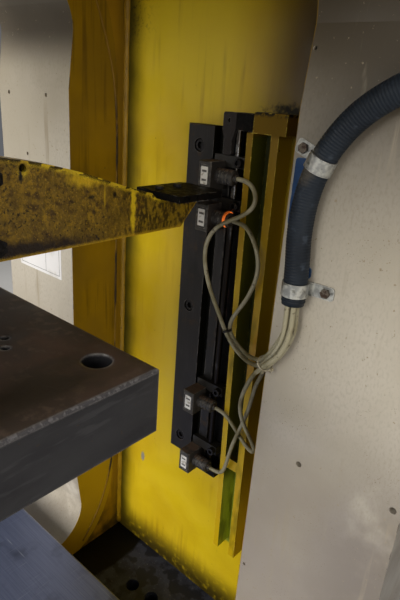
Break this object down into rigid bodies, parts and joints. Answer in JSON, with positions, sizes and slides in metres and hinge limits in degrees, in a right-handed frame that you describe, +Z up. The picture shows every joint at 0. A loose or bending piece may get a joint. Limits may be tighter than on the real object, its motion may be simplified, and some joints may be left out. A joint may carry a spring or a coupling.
{
  "type": "c-frame hydraulic press",
  "caption": "C-frame hydraulic press with box side members, a guided ram and platen, a bolster, and position switches on the throat wall.",
  "frame": {"origin": "on the floor, at the centre of the four anchor bolts, on the press's middle plane", "axes": "+Z up, +X to the operator's right, +Y from the front of the press to its back"},
  "size_m": [0.99, 1.231, 2.57],
  "materials": {
    "cream_paint": "semi-gloss machine enamel, dusty",
    "yellow_paint": "gloss machine enamel, greasy and chipped",
    "oily_steel": "raw plate under a film of oil",
    "ground_steel": "ground, scratched",
    "platen_steel": "browned and oily",
    "dark_steel": "blackened, worn",
    "bright_steel": "ground and hard chromed",
    "black_screws": "black oxide",
    "machined_steel": "grey enamel over machined steel",
    "bronze": "turned bronze",
    "switch_housing": "dark grey, dusty",
    "zinc_plate": "zinc plated",
    "conduit_plastic": "blue-grey ribbed plastic",
    "cable_jacket": "grey jacket",
    "grey_enclosure": "grey enamel",
    "cast_parts": "grey enamel over castings",
    "valve_aluminium": "machined"
  },
  "bodies": {
    "frame": {"right_throat_bar": "cream_paint", "left_throat_bar": "cream_paint", "right_rim": "cream_paint", "left_rim": "cream_paint", "right_inner_web": "yellow_paint", "left_inner_web": "yellow_paint", "right_outer_web": "cream_paint", "left_outer_web": "cream_paint", "back_wall": "yellow_paint", "bed_floor_plate": "oily_steel", "bed_front_plate": "cream_paint", "bed_rib": "oily_steel", "head_block": "yellow_paint", "bolster": "ground_steel", "bolster_screws": "black_screws", "cylinder_barrel": "machined_steel", "cylinder_cap": "machined_steel", "cylinder_gland": "machined_steel", "cylinder_screws": "black_screws", "guide_bushes": "bronze", "rail_plate": "dark_steel", "rail_screws": "black_screws", "backing_bar": "dark_steel", "upper_end_block": "dark_steel", "lower_end_block": "dark_steel", "switch_guide_rod": "bright_steel", "switch_1": "switch_housing", "switch_2": "switch_housing", "switch_3": "switch_housing", "switch_4": "switch_housing", "switch_plugs": "switch_housing", "clamp_screws": "black_screws", "guide_channel": "yellow_paint", "conduit": "conduit_plastic", "cable_1": "cable_jacket", "cable_2": "cable_jacket", "cable_3": "cable_jacket", "cable_4": "cable_jacket", "conduit_clamp_lower": "zinc_plate", "conduit_clamp_upper": "zinc_plate", "conduit_screws": "zinc_plate", "junction_box": "grey_enclosure", "oil_tank": "grey_enclosure", "tank_lid": "grey_enclosure", "bell_housing": "cast_parts", "gear_pump": "cast_parts", "electric_motor": "cast_parts", "valve_block": "valve_aluminium", "tank_pipes": "machined_steel", "cylinder_pipes": "machined_steel"},
    "ram": {"ram_rod": "bright_steel", "ram_piston": "bright_steel", "ram_screws": "black_screws", "platen": "platen_steel", "right_guide_column": "bright_steel", "left_guide_column": "bright_steel", "arm_collar": "yellow_paint", "switch_arm": "yellow_paint", "switch_flag": "dark_steel", "arm_bolts": "black_screws"}
  },
  "joints": [
    {"name": "ram_slide", "type": "slide", "parent": "frame", "child": "ram", "axis": [0, 0, -1], "range_m": [0, 0.5]}
  ]
}
